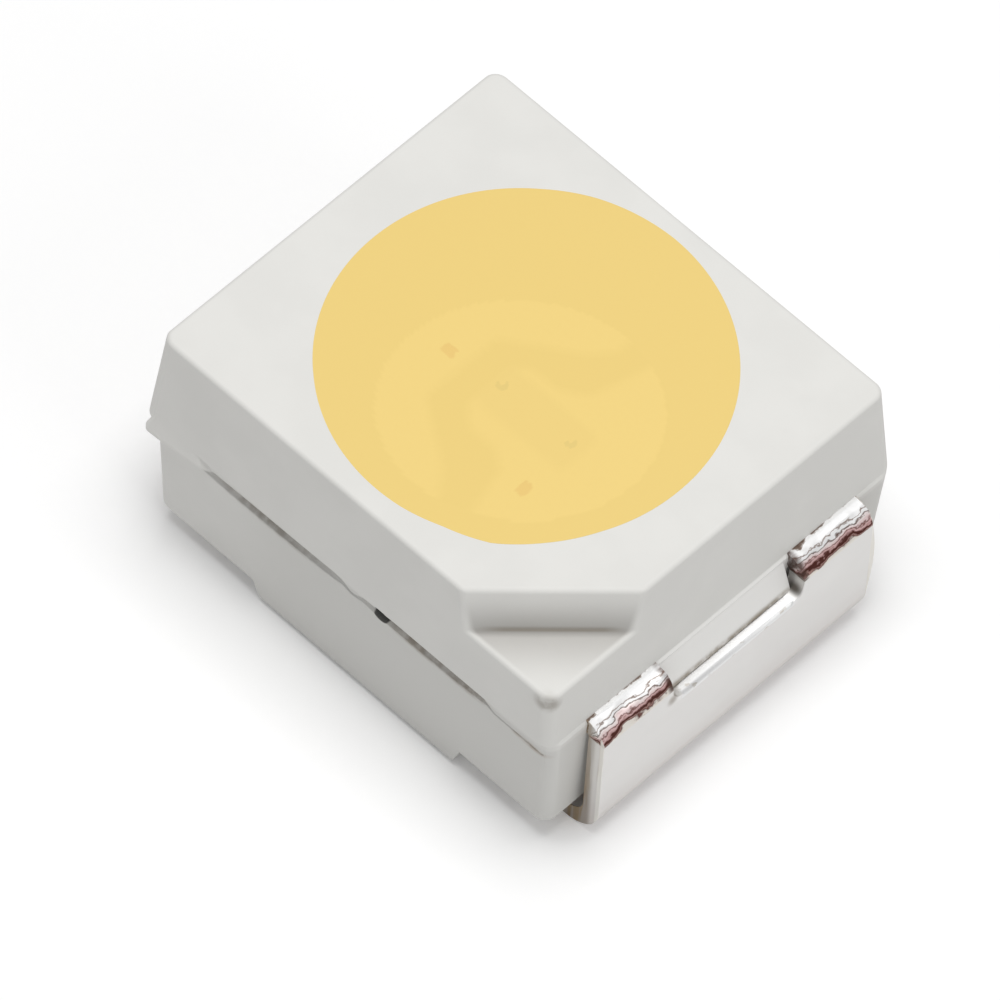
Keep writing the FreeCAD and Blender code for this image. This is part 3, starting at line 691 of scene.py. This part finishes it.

# %% [markdown]
# ## Finish the pieces
#
# Each piece is brought down to metres, shaded smooth across its small roundings and hung under the
# root, and the imported node that it stands for is hidden. The weighted normals keep the large faces
# flat in the light, and the edge at the parting plane stays sharp.

# %% Bring the pieces to metres
def finish(piece, node, smooth):
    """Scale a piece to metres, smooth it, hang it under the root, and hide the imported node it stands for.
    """
    work_on(piece, "EDIT")
    pick(piece, "EDGE", lambda edge: abs(middle(edge).z - PARTING) < 0.002 and is_sharp(edge, 4))
    bpy.ops.mesh.mark_sharp()
    bpy.ops.object.mode_set(mode="OBJECT")
    piece.scale = (MM, MM, MM)
    bpy.ops.object.transform_apply()
    bpy.ops.object.shade_smooth_by_angle(angle=math.radians(smooth))
    modifier = piece.modifiers.new("flat_faces_stay_flat", "WEIGHTED_NORMAL")
    modifier.keep_sharp = True
    bpy.ops.object.modifier_apply(modifier=modifier.name)
    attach(piece, "root")
    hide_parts(node)
    print(piece.name, len(piece.data.polygons), "faces")


finish(housing, "housing", 14)
finish(cathode_lead, "cathode_lead", 40)
finish(anode_lead, "anode_lead", 40)
finish(filling, "phosphor_filling", 30)

# %% [markdown]
# ## Materials
#
# Every material works in millimetres from the part's own origin, so a pattern keeps its real size
# however the part is placed. One function adds nodes. The others put a few nodes together: a pattern
# of uneven patches, the distance from a spot, and a layer of colour that fades out past its limits.

# %% Helpers for materials
def linear(code):
    """Turn an sRGB hex colour into linear red, green, blue and alpha."""
    parts = [int(code[i:i + 2], 16) / 255 for i in (1, 3, 5)]
    return (*(p / 12.92 if p <= 0.04045 else ((p + 0.055) / 1.055) ** 2.4 for p in parts), 1.0)


def add(tree, kind, inputs=None, **settings):
    """Add a node, set its properties, and give its inputs values or links."""
    node = tree.nodes.new(kind)
    for name, value in settings.items():
        setattr(node, name, value)
    for name, value in (inputs or {}).items():
        if isinstance(value, bpy.types.Node):
            tree.links.new(value.outputs[0], node.inputs[name])
        elif isinstance(value, bpy.types.NodeSocket):
            tree.links.new(value, node.inputs[name])
        else:
            node.inputs[name].default_value = value
    return node


def begin(name):
    """Start a material: the material, its tree, and the place on the part in millimetres."""
    material = bpy.data.materials.new(name)
    material.use_nodes = True
    tree = material.node_tree
    tree.nodes.clear()
    place = add(tree, "ShaderNodeTexCoord").outputs["Object"]
    return material, tree, add(tree, "ShaderNodeVectorMath", {0: place, "Scale": 1 / MM}, operation="SCALE")


def close(material, tree, shader, *pieces):
    """Connect a material's shader and give the material to some pieces."""
    add(tree, "ShaderNodeOutputMaterial", {"Surface": shader})
    for piece in pieces:
        piece.data.materials.clear()
        piece.data.materials.append(material)
    print(material.name, "on", [piece.name for piece in pieces])


# %% Patches, distances, limits and layers of colour
def patches(tree, place, waves, detail=3.0, stretch=(1, 1, 1)):
    """Uneven patches from 0 to 1, with a number of waves to the millimetre."""
    stretched = add(tree, "ShaderNodeVectorMath", {0: place, 1: stretch}, operation="MULTIPLY")
    return add(tree, "ShaderNodeTexNoise", {"Vector": stretched, "Scale": waves, "Detail": detail})


def distance(tree, place, centre, reach):
    """The distance from a spot's centre, which is 1 where the spot ends along each axis."""
    moved = add(tree, "ShaderNodeVectorMath", {0: place, 1: centre}, operation="SUBTRACT")
    growth = [1 / size for size in reach]
    shrunk = add(tree, "ShaderNodeVectorMath", {0: moved, 1: growth}, operation="MULTIPLY")
    return add(tree, "ShaderNodeVectorMath", {0: shrunk}, operation="LENGTH").outputs["Value"]


def limited(tree, share, *limits):
    """Fade a share by limits: a value, where it begins, where it is full, and perhaps the two shares."""
    for value, begins, full, *ends in limits:
        low, high = ends or (0.0, 1.0)
        places = {"Value": value, "From Min": begins, "From Max": full, "To Min": low, "To Max": high}
        faded = add(tree, "ShaderNodeMapRange", places, interpolation_type="SMOOTHSTEP")
        share = add(tree, "ShaderNodeMath", {0: share, 1: faded}, operation="MULTIPLY")
    return share


def layer(tree, under, over, share, *limits):
    """Lay a colour over another one by a share that fades past its limits."""
    over = linear(over) if isinstance(over, str) else over
    inputs = {0: limited(tree, share, *limits), 6: under, 7: over}
    return add(tree, "ShaderNodeMix", inputs, data_type="RGBA").outputs[2]


# %% [markdown]
# ### White polyamide
#
# The moulding is a warm white, hardly uneven, with a fine grain from the mould, sixty to the
# millimetre, that only takes the gloss away. At the foot of the mark's wall it is darker with painted
# shade. Handling has left grey-brown dirt at the mark's tip, where the seam ends at the corner and at
# the slot's near end. Painted shade darkens the seam's groove, which also has a brownish stain, the
# pit, and the gap at the slot's far end. A row gives each patch its centre, its reach along the three
# axes, its share and its colour.

# %% Make the white polyamide
DIRT_AND_SHADE = [
    ((1.53, -1.345, 1.425), (0.12, 0.10, 0.085), 0.60, "#8B8377"),
    # painted shade with a brownish stain, in the seam's groove
    ((-0.65, -1.350, 0.950), (0.62, 0.12, 0.075), 0.75, "#938B80"),
    ((0.55, -1.350, 0.975), (0.38, 0.12, 0.080), 0.85, "#948A7D"),
    ((0.90, -1.350, 0.990), (0.30, 0.12, 0.085), 0.95, "#8A7D6E"),
    ((1.44, -1.370, 0.938), (0.20, 0.10, 0.040), 0.50, "#A38F78"),
    # painted shade in the gap at the slot's far end; the next row is dirt at its near end
    ((1.66, 0.500, 0.880), (0.10, 0.040, 0.10), 1.00, "#3A342D"),
    ((1.66, -0.520, 0.850), (0.10, 0.060, 0.07), 0.70, "#8B7F6C"),
]
PIT_SHADOW = (0.066, 0.30, 0.060)
SPOT_CORE, PIT_CORE = 0.25, 0.78

material, tree, place = begin("white_polyamide_injection_moulded")
x, y, z = add(tree, "ShaderNodeSeparateXYZ", {0: place}).outputs
colour = layer(tree, linear("#E7E6E2"), "#E4E3DF", 1.0, (patches(tree, place, 2.2), 0.35, 0.65))
# Painted shade: the lower half is a little darker, fading out towards the anode's end.
colour = layer(tree, colour, "#D9D8D4", 0.8, (z, 1.02, 0.98), (x, -1.3, -0.3))

grain = (patches(tree, place, 14.0, 4.0), 0.30, 0.62, 0.35, 1.0)
for centre, reach, share, code in DIRT_AND_SHADE:
    away = distance(tree, place, centre, reach)
    colour = layer(tree, colour, code, share, (away, 1.0, SPOT_CORE), grain)
# Painted shade: the pit is painted nearly black.
away = distance(tree, place, PIT, PIT_SHADOW)
colour = layer(tree, colour, "#0C0A08", 1.0, (away, 1.0, PIT_CORE))

# %% [markdown]
# #### The shaded mark
#
# Little light gets into the corner between the mark's ledge and its wall. The shade is painted by the
# distance from the line where the two meet: on the ledge, low on the wall, and as a thin brownish line
# in the corner itself. It stops short of the mark's two ends.

# %% Shade the mark
foot_line = Vector((TOP_END - MARK_ALONG, -TOP_SIDE, 0)).dot(outwards) + MARK_DEPTH * MARK_LEAN
along = add(tree, "ShaderNodeVectorMath", {0: place, 1: outwards}, operation="DOT_PRODUCT").outputs["Value"]
beyond = add(tree, "ShaderNodeMath", {0: along, 1: foot_line}, operation="SUBTRACT")
off_line = add(tree, "ShaderNodeMath", {0: beyond}, operation="ABSOLUTE")
above_foot = [
    (y, -TOP_SIDE - 0.016, -TOP_SIDE + 0.020), (x, TOP_END + 0.016, TOP_END - 0.020),
    (z, LEDGE - 0.035, LEDGE - 0.010),
]
on_ledge = [(beyond, 0.42, -0.02), (z, LEDGE + 0.03, LEDGE), (beyond, -0.10, -0.04)]
low_on_wall = [(z, TOP - 0.02, LEDGE), (beyond, -0.12, -0.07), (beyond, 0.05, 0.0)]
in_corner = [
    (off_line, 0.012, 0.002), (z, LEDGE + 0.05, LEDGE + 0.02), (y, -TOP_SIDE, -TOP_SIDE + 0.15),
    (x, TOP_END, TOP_END - 0.12),
]
colour = layer(tree, colour, "#8F8A84", 0.52, *above_foot, *on_ledge)
colour = layer(tree, colour, "#6E6963", 0.44, *above_foot, *low_on_wall)
colour = layer(tree, colour, "#857A69", 0.55, *in_corner)

# %% Paint light on the slopes in the slots, paint shade along their lower edge, and close the material
end_ways = add(tree, "ShaderNodeMath", {0: x}, operation="ABSOLUTE")
side_ways = add(tree, "ShaderNodeMath", {0: y}, operation="ABSOLUTE")
on_slope = [
    (end_ways, BODY_END - 0.012, BODY_END + 0.004), (side_ways, SLOT_HALF, SLOT_HALF - 0.02),
    (z, PARTING + 0.005, PARTING - 0.01),
]
# Painted light: the slopes in the slots are painted lighter.
colour = layer(tree, colour, "#F6F5F2", 0.9, *on_slope)
# Painted shade: a brownish dark line along the slopes' lower edge, in the gap over the plate.
colour = layer(tree, colour, "#8B7F6C", 0.9, *on_slope, (z, SLOT_LOW + 0.055, SLOT_LOW + 0.015), grain)

height = patches(tree, place, 60.0)
bump = add(tree, "ShaderNodeBump", {"Height": height, "Strength": 0.12, "Distance": 0.003 * MM})
look = {"Base Color": colour, "Roughness": 0.62, "IOR": 1.53, "Normal": bump}
close(material, tree, add(tree, "ShaderNodeBsdfPrincipled", look), housing)

# %% [markdown]
# ### Silver-plated copper
#
# The plating is matt where the strip is flat. At the bends it was stretched over the tool and drawn
# into streaks along the bend. There its colour is a row of bands along the bend's angle: white over
# the top, then pink, mauve and dark brown towards the lower edge of each shoulder. The dark bands are
# partly tarnish and partly painted reflection. Two patterns of patches push that angle to and fro, so
# that the bands run uneven.

# %% Make the silver plate and its tarnished bends
# Bands along the bend: white, and tarnish that is partly painted reflection.
TARNISH_AND_REFLECTIONS = [
    (0.00, "#6E5D53"), (0.06, "#8C7B70"), (0.10, "#FFFFFF"), (0.34, "#FFFFFF"), (0.37, "#8F7B70"),
    (0.40, "#FFFFFF"), (0.46, "#FFFFFF"), (0.495, "#6A5046"), (0.53, "#FFF6F4"), (0.60, "#F4DEDD"),
    (0.63, "#7F524B"), (0.66, "#EBCBCA"), (0.70, "#C9A09D"), (0.73, "#5F3731"), (0.80, "#5A332E"),
    (0.84, "#B9958D"), (0.87, "#6B423C"), (0.92, "#F5EEE6"), (1.00, "#F7F3EC"),
]
TARNISH_AND_REFLECTIONS_START, TARNISH_AND_REFLECTIONS_END = 0.80, 2.70

material, tree, place = begin("silver_plate_on_stamped_copper")
x, y, z = add(tree, "ShaderNodeSeparateXYZ", {0: place}).outputs
outward = add(tree, "ShaderNodeMath", {0: x}, operation="ABSOLUTE")
across = add(tree, "ShaderNodeMath", {0: y}, operation="ABSOLUTE")
colour = layer(tree, linear("#FAF9F7"), "#F1EFED", patches(tree, place, 3.0, 3.0, (1, 0.5, 1)))
colour = layer(tree, colour, "#E6DAD5", 0.35, (z, 0.45, 0.05))

out = add(tree, "ShaderNodeMath", {0: outward, 1: START_OF_BEND}, operation="SUBTRACT")
rise = add(tree, "ShaderNodeMath", {0: z, 1: END_OF_BEND}, operation="SUBTRACT")
turn = add(tree, "ShaderNodeMath", {0: out, 1: rise}, operation="ARCTAN2")
on_bend = limited(tree, 1.0, (z, END_OF_BEND - 0.008, END_OF_BEND + 0.008), (turn, -0.4, -0.2))
sway = patches(tree, place, 6.0, 4.0, (0.4, 1, 0.4))
streak = patches(tree, place, 20.0, 5.0, (1, 0.35, 1))
swayed = add(tree, "ShaderNodeMath", {0: sway, 1: 1.3, 2: turn}, operation="MULTIPLY_ADD")
ragged = add(tree, "ShaderNodeMath", {0: streak, 1: 0.85, 2: swayed}, operation="MULTIPLY_ADD")
places = {"Value": ragged, "From Min": TARNISH_AND_REFLECTIONS_START, "From Max": TARNISH_AND_REFLECTIONS_END}
bands = add(tree, "ShaderNodeValToRGB", {0: add(tree, "ShaderNodeMapRange", places)})
for where, code in TARNISH_AND_REFLECTIONS[1:-1]:
    bands.color_ramp.elements.new(where)
for element, (where, code) in zip(bands.color_ramp.elements, TARNISH_AND_REFLECTIONS):
    element.position = where
    element.color = linear(code)
colour = layer(tree, colour, bands, on_bend)

# %% [markdown]
# #### Stamped edges and the slot's edge
#
# The shears left the strip's edges rough: streaks of warm brown copper run down them. Painted shade
# makes them darker next to the housing, and a painted highlight lies along the outer corner. The slot's
# edge was rolled over by the bend and has a painted white highlight, with grey worn places. Grime has
# gathered at the slot's near end; painted shade darkens the gap at its far end and the bends beside
# both its ends.

# %% Colour the edges
GRIME_AND_SHADE = [
    # painted shade in the gap at the slot's far end
    ((1.70, 0.50, 0.86), (0.09, 0.040, 0.080), 0.90, "#4F473D"),
    # grime at the slot's near end
    ((1.72, -0.53, 0.84), (0.08, 0.060, 0.070), 0.60, "#8A7B68"),
]
sheared = patches(tree, place, 26.0, 2.0, (1, 1, 0.06))
on_edge = (across, LEAD_HALF - 0.006, LEAD_HALF - 0.002)
low_down = (z, 0.75, 0.15, 0.55, 1.0)
at_housing = (outward, LEAD_FACE - 0.05, LEAD_FACE - 0.09)
at_corner = (outward, LEAD_FACE - 0.034, LEAD_FACE - 0.022)
# Painted shade: the edges are darker next to the housing.
colour = layer(tree, colour, "#7D6F5E", 0.55, on_edge, low_down, at_housing)
colour = layer(tree, colour, "#A58F70", 1.0, on_edge, low_down, (sheared, 0.42, 0.58, 0.1, 0.85))
# Painted highlight along the outer corner of each edge.
colour = layer(tree, colour, "#FFFDF8", 0.8, on_edge, at_corner)

on_roll = [
    (z, SLOT_LOW + 0.010, SLOT_LOW - 0.002), (z, SLOT_LOW - 0.046, SLOT_LOW - 0.034),
    (across, SLOT_HALF - 0.03, SLOT_HALF - 0.09),
]
worn = limited(tree, 0.45, (patches(tree, place, 16.0, 4.0, (1, 0.5, 1)), 0.50, 0.66))
colour = layer(tree, colour, "#B9AD9A", worn, *on_roll)
# Painted highlight: the rolled edge is painted white where it isn't worn.
colour = layer(tree, colour, "#FFFFFF", 1.0, *on_roll, (worn, 0.30, 0.05))
for centre, reach, share, code in GRIME_AND_SHADE:
    colour = layer(tree, colour, code, share, (distance(tree, place, centre, reach), 1.0, SPOT_CORE))
# Painted shade: streaks of dark on the bends beside both ends of the slot.
slot_end = (across, SLOT_HALF + 0.050, SLOT_HALF + 0.010)
colour = layer(tree, colour, "#5C463E", on_bend, slot_end, (streak, 0.30, 0.60, 0.2, 0.9))

# %% Roughen the bends and close the material
roughness = limited(tree, 1.0, (on_bend, 0.0, 1.0, 0.46, 0.52))
fine = add(tree, "ShaderNodeMath", {0: patches(tree, place, 40.0), 1: 0.15}, operation="MULTIPLY")
height = add(tree, "ShaderNodeMath", {0: streak, 1: on_bend, 2: fine}, operation="MULTIPLY_ADD")
bump = add(tree, "ShaderNodeBump", {"Height": height, "Strength": 0.4, "Distance": 0.006 * MM})
look = {"Base Color": colour, "Roughness": roughness, "Metallic": 1.0, "Normal": bump}
close(material, tree, add(tree, "ShaderNodeBsdfPrincipled", look), cathode_lead, anode_lead)

# %% [markdown]
# ### Phosphor silicone
#
# The filling is a pale, even yellow with a satin surface. Over the pads it is slightly lighter, over
# the wires' ends slightly browner, and over the chip in between, by the amounts that were kept on its
# points. The powder is too fine to see and is drawn thirty to the millimetre, very faintly.

# %% Make the silicone
material, tree, place = begin("phosphor_filled_silicone_cast")
pads_under = add(tree, "ShaderNodeAttribute", attribute_name="over_pads").outputs["Fac"]
wires_under = add(tree, "ShaderNodeAttribute", attribute_name="over_wires").outputs["Fac"]
chip_under = add(tree, "ShaderNodeAttribute", attribute_name="over_chip").outputs["Fac"]
chip_share = add(tree, "ShaderNodeMath", {0: chip_under, 1: 0.65}, operation="MULTIPLY")
on_wires = (wires_under, 0.35, 0.9)
colour = layer(tree, linear("#F0D27E"), "#F4D682", pads_under)
colour = layer(tree, colour, "#F0D27F", chip_share)
colour = layer(tree, colour, "#D0822E", 0.16, on_wires, (chip_under, 0.5, 0.1))
colour = layer(tree, colour, "#8C8A4E", 0.10, on_wires, (chip_under, 0.1, 0.5))
colour = layer(tree, colour, "#F0CF7C", 0.10, (patches(tree, place, 30.0, 2.0), 0.45, 0.75))
ripples = patches(tree, place, 3.0, 2.0)
bump = add(tree, "ShaderNodeBump", {"Height": ripples, "Strength": 0.2, "Distance": 0.002 * MM})
look = {"Base Color": colour, "Roughness": 0.55, "IOR": 1.41, "Normal": bump}
close(material, tree, add(tree, "ShaderNodeBsdfPrincipled", look), filling)

# %% [markdown]
# ### What is inside
#
# The chip, the glue and the wires are hidden by the filling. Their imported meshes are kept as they
# are and get materials of their own: clear hard sapphire, milky cured glue and drawn gold. Each is
# hardly uneven, with a number of waves to the millimetre.

# %% Make the inner materials
INSIDE = [
    ("sapphire_polished_chip", "#B8C4CC", "#9FB0BC", 12.0, {"Roughness": 0.12, "IOR": 1.77},
     ["led_chip"]),
    ("silicone_glue_cured", "#E2DFD6", "#D3CFC4", 20.0, {"Roughness": 0.35, "IOR": 1.45},
     ["die_attach_glue"]),
    ("gold_wire_drawn", "#F3CF7A", "#E6BA5C", 25.0, {"Roughness": 0.25, "Metallic": 1.0},
     ["anode_bond_wire", "cathode_bond_wire"]),
]
for name, light_code, dark_code, waves, gloss, nodes in INSIDE:
    material, tree, place = begin(name)
    colour = layer(tree, linear(light_code), dark_code, patches(tree, place, waves))
    shader = add(tree, "ShaderNodeBsdfPrincipled", {"Base Color": colour, **gloss})
    close(material, tree, shader, *[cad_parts[node] for node in nodes])

# %% [markdown]
# ## Floor
#
# The part stands on white paper that has no edge in the picture. The paper is a light grey for the
# light that it throws back, and white with a faint glow for the camera, so that it is as white as the
# background and still shows the part's soft shadow.

# %% Lay the floor
PAPER, PAPER_SEEN, PAPER_GLOW = 0.8, 1.0, 0.08
bpy.ops.object.select_all(action="DESELECT")
bpy.ops.mesh.primitive_plane_add(size=0.6, location=(0, 0, 0))
floor = bpy.context.object
floor.name = "studio_floor"
material, tree, place = begin("white_paper_floor")
by_camera = add(tree, "ShaderNodeLightPath").outputs["Is Camera Ray"]
matt = add(tree, "ShaderNodeBsdfDiffuse", {"Color": (PAPER, PAPER, PAPER, 1)})
shown = add(tree, "ShaderNodeBsdfDiffuse", {"Color": (PAPER_SEEN, PAPER_SEEN, PAPER_SEEN, 1)})
glow = add(tree, "ShaderNodeEmission", {"Color": (1, 1, 1, 1), "Strength": PAPER_GLOW})
paler = add(tree, "ShaderNodeAddShader", {0: shown, 1: glow})
close(material, tree, add(tree, "ShaderNodeMixShader", {0: by_camera, 1: matt, 2: paler}), floor)

# %% [markdown]
# ## Light
#
# The light in the photograph is soft and comes mostly from straight above. White air all round gives
# the greater part of it, a wide lamp above makes the top the lightest side, and a weak one to the
# right brightens the cathode's plate. The camera sees the air as plain white.

# %% Set the air and the lamps
AIR_STRENGTH = 0.45
SOFTBOXES = [
    ("softbox_above", (0, 0, 0.035), 0.020, 0.0061),
    ("softbox_right", (0.030, 0, 0.020), 0.020, 0.0013),
]
world = bpy.data.worlds.new("studio_air")
bpy.context.scene.world = world
world.use_nodes = True
tree = world.node_tree
tree.nodes.clear()
by_camera = add(tree, "ShaderNodeLightPath").outputs["Is Camera Ray"]
light_air = add(tree, "ShaderNodeBackground", {"Color": (1, 1, 1, 1), "Strength": AIR_STRENGTH})
white_air = add(tree, "ShaderNodeBackground", {"Color": (1, 1, 1, 1), "Strength": 1.0})
choice = add(tree, "ShaderNodeMixShader", {0: by_camera, 1: light_air, 2: white_air})
add(tree, "ShaderNodeOutputWorld", {"Surface": choice})


def add_softbox(name, place, size, power):
    """An area lamp of a given size in metres that points at the part."""
    bpy.ops.object.select_all(action="DESELECT")
    bpy.ops.object.light_add(type="AREA", location=place)
    lamp = bpy.context.object
    lamp.name = name
    lamp.data.size = size
    lamp.data.energy = power
    lamp.rotation_euler = (Vector(place) - Vector((0, 0, 0.001))).to_track_quat("Z", "Y").to_euler()


for name, place, size, power in SOFTBOXES:
    add_softbox(name, place, size, power)
print("lamps set:", [name for name, *rest in SOFTBOXES])
